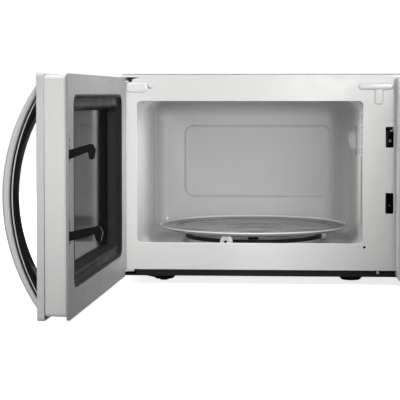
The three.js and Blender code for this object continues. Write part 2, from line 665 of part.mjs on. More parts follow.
function bow(outerArc, innerArc, width) {
  const outline = [...bowPoints(outerArc, 20), ...bowPoints(innerArc, 20).reverse()];
  return slabYZ(polygon(outline), HANDLE.x - width / 2, HANDLE.x + width / 2);
}

const HANDLE_ARCS = {
  outer: arcThrough(HANDLE.low, HANDLE.high, HANDLE.reach),
  seam: arcThrough(HANDLE.low + 13, HANDLE.high - 13, HANDLE.reach - HANDLE.barThickness),
  seamLiner: arcThrough(HANDLE.low + 13.8, HANDLE.high - 13.8, HANDLE.reach - HANDLE.barThickness - GAP),
  gap: arcThrough(HANDLE.gapLow, HANDLE.gapHigh, HANDLE.gapDepth),
};

function handleScrewHeights() {
  return [51, 272];
}

function handleLiner() {
  const holes = handleScrewHeights().map((z) => {
    return cylinder('y', 2.4, DOOR.outer - 6.8, DOOR.outer + 2, HANDLE.x, z, 12);
  });
  return cut(bow(HANDLE_ARCS.seamLiner, HANDLE_ARCS.gap, HANDLE.width - 2), ...holes);
}

function handleScrew(z) {
  const head = cylinder('y', 4, DOOR.outer + 3 + GAP, DOOR.outer + 6, HANDLE.x, z, 16);
  return join(head, cylinder('y', 2, DOOR.outer - 6, DOOR.outer + 4, HANDLE.x, z, 12));
}

// ---- assembly ----
function buildCabinet(group) {
  add(group, 'base_plate', basePlate(), BLACK_PAINT);
  add(group, 'outer_cover', outerCover(), WHITE_PAINT);
  add(group, 'rear_panel', rearPanel(), ZINC);
  add(group, 'front_plate', frontPlate(), WHITE_PAINT);
  add(group, 'cavity_liner', cavityLiner(), CAVITY_PAINT);
  add(group, 'cavity_back_wall', cavityBackWall(), CAVITY_PAINT);
  add(group, 'waveguide_cover', waveguideCover(), MICA);
  add(group, 'lamp_dome', lampDome(), CAVITY_PAINT);
  FEET.forEach(([name, x, y]) => add(group, `foot_${name}`, foot(x, y), RUBBER));
  const upperHinge = { tab: [304, 306.6], pin: [290, 305], flange: [292, 304.6], flangeRight: -205 };
  const lowerHinge = { tab: [18.6, 21.2], pin: [20, 34], flange: [18.6, 36], flangeRight: -236 };
  add(group, 'hinge_plate_upper', hingePlate(upperHinge), WHITE_PAINT);
  add(group, 'hinge_plate_lower', hingePlate(lowerHinge), WHITE_PAINT);
  add(group, 'hinge_screw', screw(HINGE_SCREW.x, HINGE_SCREW.z, -0.2, -1, 1), ZINC);
  add(group, 'base_screw', screw(BASE_SCREW.x, BASE_SCREW.z, 2 * SHEET - GAP, -1, 1.6, 2.6), ZINC);
  coverScrewPlaces().forEach(([x, z], i) => {
    add(group, `rear_screw_${i + 1}`, screw(x, z, CABINET.back, 1, 2.4), ZINC);
  });
  const inlet = lathe([[0, 0], [8.9, 0], [8.9, 6], [12, 6], [12, 9], [5, 10], [4.2, 3], [0, 3]], 20);
  add(group, 'cord_inlet', inlet.rotateX(-Math.PI / 2).translate(215, CABINET.back - 6, 60), BLACK_PLASTIC);
}

function buildWorks(group) {
  add(group, 'waveguide_duct', waveguideDuct(), ZINC);
  add(group, 'magnetron', magnetron(), STEEL);
  add(group, 'hv_transformer', transformer(), STEEL);
  add(group, 'hv_capacitor', capacitor(), SILVER);
  add(group, 'fan_shroud', fanShroud(), ZINC);
  add(group, 'fan_blade', fanBlade(), BLACK_PLASTIC);
  add(group, 'fan_motor', fanMotor(), STEEL);
  add(group, 'filter_board', filterBoard(), BOARD);
  add(group, 'oven_lamp', ovenLamp(), WHITE_PLASTIC);
  add(group, 'turntable_motor', turntableMotor(), ZINC);
  add(group, 'latch_board', latchBoard(), WHITE_PLASTIC);
  SWITCHES.forEach((place, i) => {
    add(group, `door_switch_${i + 1}`, doorSwitch(place), BLACK_PLASTIC);
    add(group, `switch_plunger_${i + 1}`, switchPlunger(place), WHITE_PLASTIC);
  });
  add(group, 'control_panel_housing', panelHousing(), WHITE_PLASTIC);
  add(group, 'control_board', controlBoard(), BOARD);
  add(group, 'display_window', panelPlate(262, 300), TINTED_GLASS);
  add(group, 'keypad', panelPlate(26, 258), GREY_PLASTIC);
}

function buildTurntable(group) {
  add(group, 'turntable_coupler', turntableCoupler(), BLACK_PLASTIC);
  add(group, 'glass_tray', glassTray(), CLEAR_GLASS);
  add(group, 'roller_ring', rollerRing(), BLACK_PLASTIC);
  ROLLER_ANGLES.forEach((degrees, i) => {
    add(group, `roller_wheel_${i + 1}`, rollerWheel(degrees), WHITE_PLASTIC);
  });
}

function buildDoor(group) {
  add(group, 'door_outer_frame', doorOuterFrame(), WHITE_PLASTIC);
  add(group, 'door_glass', doorGlass(), TINTED_GLASS);
  add(group, 'door_pan', doorPan(), WHITE_PAINT);
  add(group, 'door_screen', doorSheet(-21.6, -20.8), SCREEN);
  add(group, 'door_inner_film', doorSheet(-20.5, -19.8), CLEAR_GLASS);
  add(group, 'door_trim_frame', doorTrimFrame(), GREY_PLASTIC);
  add(group, 'door_choke_cover', chokeCover(), BLACK_PLASTIC);
  add(group, 'latch_lever', latchLever(), BLACK_PLASTIC);
  add(group, 'latch_spring', latchSpring(), STEEL);
  add(group, 'handle_bar', bow(HANDLE_ARCS.outer, HANDLE_ARCS.seam, HANDLE.width), SILVER);
  add(group, 'handle_liner', handleLiner(), BLACK_PLASTIC);
  handleScrewHeights().forEach((z, i) => add(group, `handle_screw_${i + 1}`, handleScrew(z), ZINC));
}

buildCabinet(cabinetGroup);
buildWorks(cabinetGroup);
buildTurntable(cabinetGroup);
const closedDoor = new THREE.Group();
buildDoor(closedDoor);
closedDoor.position.set(-HINGE.x, -HINGE.y, 0);
doorGroup.add(closedDoor);
doorGroup.position.set(HINGE.x, HINGE.y, 0);
doorGroup.rotation.z = THREE.MathUtils.degToRad(-HINGE.openDegrees);

// The frame's origin is the middle of the whole footprint, door open, on the counter.
const assembly = new THREE.Group();
assembly.add(parts);
assembly.updateMatrixWorld(true);
const bounds = new THREE.Box3().setFromObject(assembly, true);
const middle = bounds.getCenter(new THREE.Vector3());
parts.position.set(-middle.x, -middle.y, 0);
assembly.updateMatrixWorld(true);

export default assembly;
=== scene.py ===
"""Looks for a countertop microwave oven with its door open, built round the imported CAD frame."""

import json
import math

import bmesh
import bpy
from mathutils import Matrix, Vector


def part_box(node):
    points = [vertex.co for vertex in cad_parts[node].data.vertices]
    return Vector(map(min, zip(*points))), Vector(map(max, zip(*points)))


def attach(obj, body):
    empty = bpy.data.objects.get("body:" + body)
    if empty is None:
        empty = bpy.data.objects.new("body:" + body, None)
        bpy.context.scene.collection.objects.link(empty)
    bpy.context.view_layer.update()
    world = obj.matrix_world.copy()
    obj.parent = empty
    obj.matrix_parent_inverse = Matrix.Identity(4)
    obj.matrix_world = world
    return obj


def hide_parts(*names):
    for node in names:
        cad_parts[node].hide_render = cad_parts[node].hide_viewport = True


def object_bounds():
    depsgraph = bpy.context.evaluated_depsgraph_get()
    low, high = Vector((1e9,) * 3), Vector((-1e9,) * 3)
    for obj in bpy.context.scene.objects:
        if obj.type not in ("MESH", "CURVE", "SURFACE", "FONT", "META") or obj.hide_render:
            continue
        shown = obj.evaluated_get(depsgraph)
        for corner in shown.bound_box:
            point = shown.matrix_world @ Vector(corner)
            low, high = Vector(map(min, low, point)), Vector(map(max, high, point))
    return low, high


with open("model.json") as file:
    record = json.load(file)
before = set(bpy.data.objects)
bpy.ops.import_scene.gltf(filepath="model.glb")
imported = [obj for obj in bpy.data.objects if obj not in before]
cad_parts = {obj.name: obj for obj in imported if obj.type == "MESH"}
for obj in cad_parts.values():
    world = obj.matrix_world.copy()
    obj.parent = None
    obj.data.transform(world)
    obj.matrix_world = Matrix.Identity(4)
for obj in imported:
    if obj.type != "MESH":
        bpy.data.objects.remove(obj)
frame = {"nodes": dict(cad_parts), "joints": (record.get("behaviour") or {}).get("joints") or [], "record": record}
cad_low, cad_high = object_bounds()

MM = 0.001

# Cabinet coordinates, in millimetres: X from the cabinet's centre line, Y from the front plate's face, Z up.
cover_low, cover_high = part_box("outer_cover")
CENTRE_X = (cover_low.x + cover_high.x) / 2
HOUSING_GAP = 0.3
FACE_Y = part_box("control_panel_housing")[1].y + HOUSING_GAP * MM

joints = {joint["name"]: joint for joint in frame["joints"]}
hinge = Vector(joints["door_hinge"]["pos_m"])
OPEN_ANGLE = math.radians(-joints["door_hinge"]["range_deg"][0])
OPEN = Matrix.Translation(hinge) @ Matrix.Rotation(-OPEN_ANGLE, 4, "Z") @ Matrix.Translation(-hinge)


def at(x, y, z):
    """A point in cabinet millimetres, as a place in the row frame."""
    return Vector((CENTRE_X + x * MM, FACE_Y + y * MM, z * MM))


# ---------------------------------------------------------------- camera
def make_camera():
    """A long lens about two metres in front of the plate, framed as in the photograph."""
    camera = bpy.data.cameras.new("photo_camera")
    camera.sensor_width = 36
    camera.lens = 119.3
    camera.shift_x = -0.035
    camera.shift_y = -0.16
    camera.clip_end = 50
    eye = at(-9.75, -1988, 285)
    # The whole framing offset, as shares of the frame's width. The shift takes part of it and a small turn
    # of the camera the rest.
    offset_x, offset_y = 0.2112, 0.2625
    turn = math.atan((offset_x + camera.shift_x) * camera.sensor_width / camera.lens)
    dip = math.atan((offset_y + camera.shift_y) * camera.sensor_width / camera.lens)
    holder = bpy.data.objects.new("photo_camera", camera)
    holder.location = eye
    holder.rotation_euler = (math.radians(90) - dip, 0, turn)
    bpy.context.scene.collection.objects.link(holder)
    bpy.context.scene.camera = holder


make_camera()


# ---------------------------------------------------------------- materials
class Nodes:
    """A material's node tree, with short ways to add what the materials below share."""

    def __init__(self, name):
        self.material = bpy.data.materials.new(name)
        self.material.use_nodes = True
        self.tree = self.material.node_tree
        self.shader = self.tree.nodes["Principled BSDF"]
        self.coordinates = self.add("ShaderNodeTexCoord").outputs["Object"]

    def add(self, kind, **values):
        node = self.tree.nodes.new(kind)
        for key, value in values.items():
            if key in node.inputs:
                node.inputs[key].default_value = value
            else:
                setattr(node, key, value)
        return node

    def link(self, source, target):
        self.tree.links.new(source, target)

    def noise(self, scale, detail=3.0, stretch=None):
        node = self.add("ShaderNodeTexNoise", Scale=scale, Detail=detail)
        source = self.coordinates
        if stretch:
            mapping = self.add("ShaderNodeMapping", Scale=stretch)
            self.link(source, mapping.inputs["Vector"])
            source = mapping.outputs["Vector"]
        self.link(source, node.inputs["Vector"])
        return node.outputs["Fac"]

    def spread(self, source, low, high):
        node = self.add("ShaderNodeMapRange")
        node.inputs["From Min"].default_value = 0.3
        node.inputs["From Max"].default_value = 0.7
        node.inputs["To Min"].default_value = low
        node.inputs["To Max"].default_value = high
        self.link(source, node.inputs["Value"])
        return node.outputs["Result"]

    def tint(self, source, first, second):
        node = self.add("ShaderNodeMix", data_type="RGBA")
        # The Mix node has one pair of inputs for each data type, so the colour pair is found by its type.
        colours = [socket for socket in node.inputs if socket.type == "RGBA"]
        colours[0].default_value = (*first, 1)
        colours[1].default_value = (*second, 1)
        self.link(source, node.inputs["Factor"])
        return next(socket for socket in node.outputs if socket.type == "RGBA")

    def bump(self, source, strength, distance):
        node = self.add("ShaderNodeBump", Strength=strength, Distance=distance)
        self.link(source, node.inputs["Height"])
        self.link(node.outputs["Normal"], self.shader.inputs["Normal"])


SPECKLE_CONTRAST = 0.3
GLASS_VARIATION = 0.03


def shade(colour, factor):
    """A lighter or darker colour."""
    return tuple(min(1.0, channel * factor) for channel in colour)


def grained(
    name, colour, roughness, grain, depth,
    metallic=0.0, coat=0.0, stretch=None, variation=0.04, specular=0.5, speckle=0.0,
):
    """Paint, plastic or metal: cloudy colour, uneven gloss and a fine grain.

    The grain, its depth and the speckle are in metres.
    """
    nodes = Nodes(name)
    if speckle:
        pattern, variation = nodes.spread(nodes.noise(1 / speckle, 4.0), 0.0, 1.0), SPECKLE_CONTRAST
    else:
        pattern = nodes.noise(9.0, 2.0, stretch)
    colours = nodes.tint(pattern, shade(colour, 1 - variation), shade(colour, 1 + variation))
    nodes.link(colours, nodes.shader.inputs["Base Color"])
    wear = nodes.noise(38.0, 4.0, stretch)
    nodes.link(nodes.spread(wear, roughness * 0.88, roughness * 1.12), nodes.shader.inputs["Roughness"])
    nodes.bump(nodes.noise(1 / grain, 2.0, stretch), 0.35, depth)
    nodes.shader.inputs["Metallic"].default_value = metallic
    nodes.shader.inputs["Coat Weight"].default_value = coat
    nodes.shader.inputs["Specular IOR Level"].default_value = specular
    nodes.shader.inputs["Coat Roughness"].default_value = 0.12
    return nodes.material


def thin_glass(name, clear, gloss_roughness, ior=1.5, haze=0.0):
    """Sheet glass or film: lets light straight through, tinted, and mirrors more at a slant."""
    nodes = Nodes(name)
    tree = nodes.tree
    nodes.tree.nodes.remove(nodes.shader)
    through = nodes.add("ShaderNodeBsdfTransparent")
    cloud = nodes.noise(14.0, 2.0)
    nodes.link(nodes.tint(cloud, shade(clear, 1 - GLASS_VARIATION), clear), through.inputs["Color"])
    gloss = nodes.add("ShaderNodeBsdfGlossy")
    gloss.inputs["Roughness"].default_value = gloss_roughness
    fresnel = nodes.add("ShaderNodeFresnel")
    fresnel.inputs["IOR"].default_value = ior
    mix = nodes.add("ShaderNodeMixShader")
    nodes.link(fresnel.outputs["Fac"], mix.inputs["Fac"])
    body = through
    if haze:
        scatter = nodes.add("ShaderNodeBsdfDiffuse")
        scatter.inputs["Color"].default_value = (0.9, 0.91, 0.91, 1)
        body = nodes.add("ShaderNodeMixShader")
        slant = nodes.add("ShaderNodeLayerWeight", Blend=0.5)
        share = nodes.add("ShaderNodeMapRange")
        share.inputs["To Min"].default_value = haze
        share.inputs["To Max"].default_value = haze * 0.3
        nodes.link(slant.outputs["Facing"], share.inputs["Value"])
        nodes.link(share.outputs["Result"], body.inputs["Fac"])
        nodes.link(through.outputs["BSDF"], body.inputs[1])
        nodes.link(scatter.outputs["BSDF"], body.inputs[2])
    nodes.link(body.outputs[0], mix.inputs[1])
    nodes.link(gloss.outputs["BSDF"], mix.inputs[2])
    output = next(node for node in tree.nodes if node.type == "OUTPUT_MATERIAL")
    nodes.link(mix.outputs["Shader"], output.inputs["Surface"])
    return nodes.material


def mica_material():
    nodes = Nodes("mica")
    flakes = nodes.add("ShaderNodeTexVoronoi", Scale=260.0)
    nodes.link(nodes.coordinates, flakes.inputs["Vector"])
    colours = nodes.tint(flakes.outputs["Distance"], (0.52, 0.5, 0.45), (0.40, 0.38, 0.33))
    nodes.link(colours, nodes.shader.inputs["Base Color"])
    nodes.link(nodes.spread(nodes.noise(60.0), 0.3, 0.5), nodes.shader.inputs["Roughness"])
    nodes.bump(flakes.outputs["Distance"], 0.3, 0.0002)
    return nodes.material


def board_material():
    nodes = Nodes("board")
    tracks = nodes.add("ShaderNodeTexBrick", Scale=90.0)
    nodes.link(nodes.coordinates, tracks.inputs["Vector"])
    tracks.inputs["Color1"].default_value = (0.03, 0.13, 0.05, 1)
    tracks.inputs["Color2"].default_value = (0.04, 0.17, 0.06, 1)
    tracks.inputs["Mortar"].default_value = (0.30, 0.36, 0.10, 1)
    nodes.link(tracks.outputs["Color"], nodes.shader.inputs["Base Color"])
    nodes.link(nodes.spread(nodes.noise(50.0), 0.35, 0.55), nodes.shader.inputs["Roughness"])
    nodes.bump(tracks.outputs["Fac"], 0.4, 0.0002)
    return nodes.material


def make_materials():
    """Every material by name; the grained ones as colour, roughness, grain, depth and what else differs."""
    materials = {}
    for name, colour, roughness, grain, depth, rest in (
        ("white_paint", (0.80, 0.80, 0.79), 0.34, 0.0011, 0.00003, dict(coat=0.25, variation=0.015)),
        ("cavity_paint", (0.425, 0.425, 0.427), 0.45, 0.0013, 0.00004, dict(coat=0.12, variation=0.03)),
        ("black_paint", (0.014, 0.014, 0.015), 0.6, 0.0009, 0.00003, dict(specular=0.15)),
        ("zinc", (0.56, 0.58, 0.59), 0.38, 0.0016, 0.00004, dict(metallic=1.0, variation=0.12)),
        ("steel_core", (0.10, 0.09, 0.085), 0.45, 0.0007, 0.0001, dict(metallic=0.4, variation=0.2)),
        ("aluminium", (0.68, 0.69, 0.71), 0.32, 0.0006, 0.00004,
         dict(metallic=1.0, stretch=(0.04, 1, 1), variation=0.07)),
        ("white_plastic", (0.74, 0.74, 0.735), 0.32, 0.0008, 0.00002, dict(coat=0.2, variation=0.012)),
        ("silver_plastic", (0.74, 0.745, 0.755), 0.36, 0.0009, 0.00001,
         dict(metallic=0.35, coat=0.1, variation=0.02)),
        ("black_plastic", (0.010, 0.010, 0.011), 0.2, 0.0009, 0.00002, dict(variation=0.2, specular=0.1)),
        ("grey_plastic", (0.33, 0.332, 0.335), 0.45, 0.0009, 0.00012, dict(specular=0.3, speckle=0.0016)),
        ("choke_plastic", (0.016, 0.016, 0.017), 0.44, 0.0009, 0.00002, dict(variation=0.2, specular=0.08)),
        ("keypad_film", (0.045, 0.046, 0.05), 0.33, 0.0005, 0.00003, dict(variation=0.06)),
        ("rubber", (0.02, 0.02, 0.02), 0.75, 0.0006, 0.0001, dict(variation=0.15)),
        ("screen", (0.02, 0.02, 0.021), 0.4, 0.0008, 0.00003, dict(variation=0.1)),
        ("key_film", (0.10, 0.102, 0.108), 0.36, 0.0005, 0.00003, dict(variation=0.04)),
        ("marking", (0.62, 0.63, 0.64), 0.4, 0.0005, 0.00001, dict()),
    ):
        materials[name] = grained(name, colour, roughness, grain, depth, **rest)
    clear = (0.93, 0.95, 0.945)
    materials["board"] = board_material()
    materials["mica"] = mica_material()
    materials["tinted_glass"] = thin_glass("tinted_glass", (0.16, 0.16, 0.165), 0.03)
    materials["clear_glass"] = thin_glass("clear_glass", clear, 0.05, 1.36, 0.26)
    # The rim's glass: a painted highlight, its scatter much whiter than the flat of the tray.
    materials["glass_rim_highlight"] = thin_glass("glass_rim_highlight", clear, 0.05, 1.36, 0.8)
    materials["clear_film"] = thin_glass("clear_film", (0.86, 0.87, 0.87), 0.10)
    return materials


MATERIALS = make_materials()
SLOT_OF = {part["node"]: part["material_slot"] for part in frame["record"]["subparts"]}
BODY_OF = {node: body for body, nodes in frame["record"]["behaviour"]["bodies"].items() for node in nodes}


# ---------------------------------------------------------------- mesh helpers
def new_piece(name, mesh, body, slot, replaced=(), material=None):
    piece = bpy.data.objects.new(name, mesh)
    bpy.context.scene.collection.objects.link(piece)
    mesh.materials.clear()
    mesh.materials.append(material or MATERIALS[slot])
    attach(piece, body)
    if replaced:
        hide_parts(*replaced)
    return piece


SMOOTH_ANGLE = 35
BEVEL_ANGLE = 30
FLAT_ANGLE = 0.4


def smooth(mesh, angle):
    for polygon in mesh.polygons:
        polygon.use_smooth = True
    mesh.set_sharp_from_angle(angle=math.radians(angle))


def mesh_from(work, name, smooth_angle=SMOOTH_ANGLE):
    """A finished mesh from a bmesh, smooth except over edges sharper than the angle."""
    bmesh.ops.recalc_face_normals(work, faces=work.faces)
    mesh = bpy.data.meshes.new(name)
    work.to_mesh(mesh)
    work.free()
    smooth(mesh, smooth_angle)
    return mesh


def round_edges(piece, width, segments):
    bevel = piece.modifiers.new("rounded_edges", "BEVEL")
    bevel.width = width * MM
    bevel.segments = segments
    bevel.limit_method = "ANGLE"
    bevel.angle_limit = math.radians(BEVEL_ANGLE)
    bevel.use_clamp_overlap = True
    normals = piece.modifiers.new("flat_faces", "WEIGHTED_NORMAL")
    normals.keep_sharp = True


def refine(node, width=0, segments=2):
    """The CAD node's own shape with its flat faces joined and, given a width, its edges rounded."""
    work = bmesh.new()
    work.from_mesh(frame["nodes"][node].data)
    bmesh.ops.remove_doubles(work, verts=work.verts, dist=1e-5)
    bmesh.ops.dissolve_limit(work, angle_limit=math.radians(FLAT_ANGLE), verts=work.verts, edges=work.edges)
    mesh = mesh_from(work, f"{node}_fine")
    piece = new_piece(f"{node}_fine", mesh, BODY_OF[node], SLOT_OF[node], [node])
    if width:
        round_edges(piece, width, segments)
    return piece


def rounded_rectangle(left, right, bottom, top, radius, steps=6):
    """A rectangle's outline with each corner an arc of so many steps."""
    points = []
    for x, z, start in ((right, bottom, -90), (right, top, 0), (left, top, 90), (left, bottom, 180)):
        cx = x - radius if x == right else x + radius
        cz = z - radius if z == top else z + radius
        for step in range(steps + 1):
            angle = math.radians(start + 90 * step / steps)
            points.append((cx + radius * math.cos(angle), cz + radius * math.sin(angle)))
    return points


def skin(loops, joined):
    """A bmesh skin from each loop to the next, and from the last to the first if joined."""
    work = bmesh.new()
    rings = [[work.verts.new(point) for point in loop] for loop in loops]
    following = rings[1:] + rings[:1] if joined else rings[1:]
    for first, second in zip(rings, following):
        for i in range(len(first)):
            j = (i + 1) % len(first)
            work.faces.new((first[i], first[j], second[j], second[i]))
    return work, rings


def loft(loops, open_start=False, transform=None):
    """A skin through loops, closed by a face at its last loop and, unless left open, at its first."""
    work, rings = skin(loops, False)
    work.faces.new(rings[-1])
    if not open_start:
        work.faces.new(rings[0])
    if transform is not None:
        bmesh.ops.transform(work, matrix=transform, verts=work.verts)
    return work


def ring_loft(loops, transform):
    """A closed ring-shaped skin through loops, the last joined to the first."""
    work, _ = skin(loops, True)
    bmesh.ops.transform(work, matrix=transform, verts=work.verts)
    return work


def lathe(profile, centre, sides):
    """A closed turned solid about a vertical axis; the profile's first and last points lie on the axis."""
    work = bmesh.new()
    rings = []
    for radius, height in profile:
        if radius == 0:
            rings.append([work.verts.new(at(*centre, height))])
            continue
        ring = []
        for i in range(sides):
            angle = 2 * math.pi * i / sides
            x = centre[0] + radius * math.cos(angle)
            y = centre[1] + radius * math.sin(angle)
            ring.append(work.verts.new(at(x, y, height)))
        rings.append(ring)
    for first, second in zip(rings, rings[1:]):
        for i in range(sides):
            j = (i + 1) % sides
            # On the axis a ring is one point, so the face there has three corners.
            corners = [first[i % len(first)], first[j % len(first)]]
            corners += [second[j % len(second)], second[i % len(second)]]
            face = [vert for k, vert in enumerate(corners) if vert not in corners[:k]]
            if len(face) > 2:
                work.faces.new(face)
    return work


TURN_TO = {
    "x": Matrix.Rotation(math.radians(90), 4, "Y"),
    "z": Matrix(),
}


def cylinder_cutters(places, radius, length, axis, sides):
    """Many cylinders in one mesh object, used only to cut holes; places are the row-frame centres."""
    work = bmesh.new()
    for place in places:
        bmesh.ops.create_cone(
            work,
            cap_ends=True,
            segments=sides,
            radius1=radius * MM,
            radius2=radius * MM,
            depth=length * MM,
            matrix=Matrix.Translation(place) @ TURN_TO[axis],
        )
    mesh = bpy.data.meshes.new("cutters")
    work.to_mesh(mesh)
    work.free()
    cutter = bpy.data.objects.new("cutters", mesh)
    bpy.context.scene.collection.objects.link(cutter)
    return cutter


def bake_modifiers(piece):
    """Replaces the piece's mesh with what its modifiers make, and drops them."""
    bpy.context.view_layer.update()
    graph = bpy.context.evaluated_depsgraph_get()
    mesh = bpy.data.meshes.new_from_object(piece.evaluated_get(graph))
    piece.modifiers.clear()
    piece.data = mesh
    smooth(mesh, SMOOTH_ANGLE)


def cut_holes(piece, *cutters):
    """Cuts with the exact solver, then throws the cutters away."""
    for cutter in cutters:
        boolean = piece.modifiers.new("holes", "BOOLEAN")
        boolean.operation = "DIFFERENCE"
        boolean.solver = "EXACT"
        boolean.object = cutter
    bake_modifiers(piece)
    for cutter in cutters:
        bpy.data.objects.remove(cutter)


# ---------------------------------------------------------------- oven cavity
LEFT, RIGHT, FLOOR, CEILING = -232, 108, 48, 276
LINER_FRONT, BACK = 5.3, 336
WALL_CORNER = 18
BACK_FILLET, FILLET_STEPS = 16, 7
BACK_PANEL = (-184, 71, 107, 231)
PANEL_CORNER = 14
VENT_ROWS, VENT_COLUMNS, VENT_PITCH = 14, 11, 4.3
VENT_FRONT, VENT_LOW = 20, 197
TRAY_CENTRE = (-60, 168)
TRAY_BOTTOM = 67.6
LAMP_Y, LAMP_Z = 207, 211


def cavity_loops():
    """The cavity's section from its mouth to the floor of the pressed back panel."""
    fillet_start = BACK - BACK_FILLET
    sections = [(0, LINER_FRONT, 7), (0, 12, 10), (0, 60, WALL_CORNER), (0, 200, WALL_CORNER)]
    sections += [(0, fillet_start - 26, WALL_CORNER)]
    # A low bead runs round the walls where they turn into the back.
    bead = ((0.5, 24.5), (2.2, 22.5), (2.2, 20.5), (0.5, 18.5), (0, 17), (0, 0))
    sections += [(inset, fillet_start - back_off, WALL_CORNER) for inset, back_off in bead]
    for step in range(1, FILLET_STEPS + 1):
        angle = math.radians(90 * step / FILLET_STEPS)
        inset = BACK_FILLET * (1 - math.cos(angle))
        sections.append((inset, fillet_start + BACK_FILLET * math.sin(angle), max(8, 24 - inset / 2)))
    loops = []
    for inset, y, radius in sections:
        outline = rounded_rectangle(LEFT + inset, RIGHT - inset, FLOOR + inset, CEILING - inset, radius)
        loops.append([at(x, y, z) for x, z in outline])
    left, right, bottom, top = BACK_PANEL
    for grow, sink in ((2.4, 0), (1.3, 0.3), (0.3, 1.3), (-0.8, 2.8), (-1.8, 3.7), (-3.2, 4.0)):
        corners = left - grow, right + grow, bottom - grow, top + grow
        outline = rounded_rectangle(*corners, PANEL_CORNER + grow)
        loops.append([at(x, BACK + sink, z) for x, z in outline])
    return loops


def vent_places():
    """Staggered rows of holes in the right wall, near its front and top."""
    places = []
    for row in range(VENT_ROWS):
        stagger = (row % 2) * VENT_PITCH / 2
        for column in range(VENT_COLUMNS):
            y = VENT_FRONT + column * VENT_PITCH + stagger
            places.append(at(RIGHT, y, VENT_LOW + row * VENT_PITCH))
    return places


def cavity_interior():
    """One drawn steel shell: filleted walls, a back wall with a pressed panel, and its holes."""
    mesh = mesh_from(loft(cavity_loops(), open_start=True), "cavity_interior", 60)
    walls = ["cavity_liner", "cavity_back_wall"]
    piece = new_piece("cavity_interior", mesh, "cabinet", "cavity_paint", walls)
    first_face = mesh.polygons[0]
    faces_inward = first_face.normal.dot(at(-62, 0, 160) - first_face.center) > 0
    shell = piece.modifiers.new("sheet", "SOLIDIFY")
    shell.thickness = 0.8 * MM
    shell.offset = -1 if faces_inward else 1
    vent_cutter = cylinder_cutters(vent_places(), 1.6, 6, "x", 10)
    shaft_cutter = cylinder_cutters([at(*TRAY_CENTRE, FLOOR)], 6, 6, "z", 24)
    lamp_cutter = cylinder_cutters([at(RIGHT, LAMP_Y, LAMP_Z)], 15, 8, "x", 28)
    cut_holes(piece, vent_cutter, shaft_cutter, lamp_cutter)


def lamp_dome():
    """The lamp's dome with rings of small holes."""
    piece = refine("lamp_dome")
    places = []
    for ring, count in ((0, 1), (4.2, 6), (8.2, 12), (12.2, 17)):
        for i in range(count):
            angle = 2 * math.pi * (i + 0.5 * (count % 2)) / count
            places.append(at(RIGHT - 8, LAMP_Y + ring * math.cos(angle), LAMP_Z + ring * math.sin(angle)))
    cut_holes(piece, cylinder_cutters(places, 1.25, 14, "x", 10))


RIB_CLEARANCE = 0.03


def plate_ribs():
    """Soft flanks over the front plate's three stamped ribs."""
    for name, (left, right, bottom, top), radius, rise in (
        ("plate_rib", (-247.5, -217, 290, 302), 5.9, 0.9),
        ("plate_bar", (101.5, 151.5, 294, 302), 3.9, 0.9),
        ("plate_stem", (125.6, 136.4, 272, 297), 2.5, 0.6),
    ):
        loops = []
        for grow, share in ((1.3, 0), (1.1, 0.12), (0.4, 0.8), (0, 1), (-1.5, 1.05)):
            outline = rounded_rectangle(left - grow, right + grow, bottom - grow, top + grow, radius + grow)
            loops.append([at(x, -RIB_CLEARANCE - share * rise, z) for x, z in outline])
        new_piece(name, mesh_from(loft(loops), name, 50), "cabinet", "white_paint")


# ---------------------------------------------------------------- turntable
TRAY_RIM_TOP = 76
TRAY_RIM_START = 146
LUG_MIDDLE = 17.5


def glass_tray():
    """The turned glass tray, with a crisp rim and two rings pressed in its top."""
    low, rim = TRAY_BOTTOM, TRAY_RIM_TOP
    profile = [(0, low), (60, low), (100, low), (130, low), (136, low + 0.3), (142, low + 1.4)]
    profile += [(147, low + 3.2), (151, low + 5.4), (153.4, low + 6.2), (154.8, low + 6.6), (155, low + 7.4)]
    profile += [(154.6, rim - 0.3), (154, rim), (152.4, rim), (151.8, rim - 0.5), (151.2, low + 7.2)]
    profile += [(148, low + 5.8), (142, low + 4.4), (133, low + 4)]
    profile += [(125, low + 4), (123.4, low + 4.5), (121.6, low + 4.5), (120, low + 4), (60, low + 4)]
    profile += [(36, low + 4), (34.6, low + 4.7), (32.4, low + 4.7), (31, low + 4), (0, low + 4)]
    mesh = mesh_from(lathe(profile, TRAY_CENTRE, 160), "glass_tray_fine", 50)
    new_piece("glass_tray_fine", mesh, "tray", "clear_glass", ["glass_tray"])
    # The turned-up rim is thicker along the line of sight, but its much whiter scatter goes beyond that: it is a
    # painted highlight, the bright line along the glass rim.
    mesh.materials.append(MATERIALS["glass_rim_highlight"])
    centre = at(*TRAY_CENTRE, 0)
    for polygon in mesh.polygons:
        reach = math.hypot(polygon.center.x - centre.x, polygon.center.y - centre.y) / MM
        polygon.material_index = 1 if reach > TRAY_RIM_START else 0


def tray_lug(index, degrees):
    """One of the three raised glass lugs under the tray that the coupler turns."""
    outline = rounded_rectangle(11, 24, -6, 6, 2.5, 4)
    turn = Matrix.Translation(at(*TRAY_CENTRE, 0)) @ Matrix.Rotation(math.radians(degrees), 4, "Z")
    loops = []
    for shrink, height in ((1.6, -5), (0.6, -4.6), (0, -3.8), (0, -0.05)):
        scale_x, scale_y = 1 - shrink / 6.5, 1 - shrink / 6
        ring = []
        for x, y in outline:
            along = LUG_MIDDLE + (x - LUG_MIDDLE) * scale_x
            ring.append(Vector((along * MM, y * scale_y * MM, (TRAY_BOTTOM + height) * MM)))
        loops.append(ring)
    mesh = mesh_from(loft(loops, transform=turn), f"tray_lug_{index}", 50)
    new_piece(f"tray_lug_{index}", mesh, "tray", "clear_glass")


# ---------------------------------------------------------------- door
SCREEN_LEFT, SCREEN_RIGHT = -198, 105
SCREEN_BOTTOM, SCREEN_TOP = 66.5, 265.5
SCREEN_Y = -21.2
HOLE_PITCH = 2.6
HOLE_RADIUS = 0.92


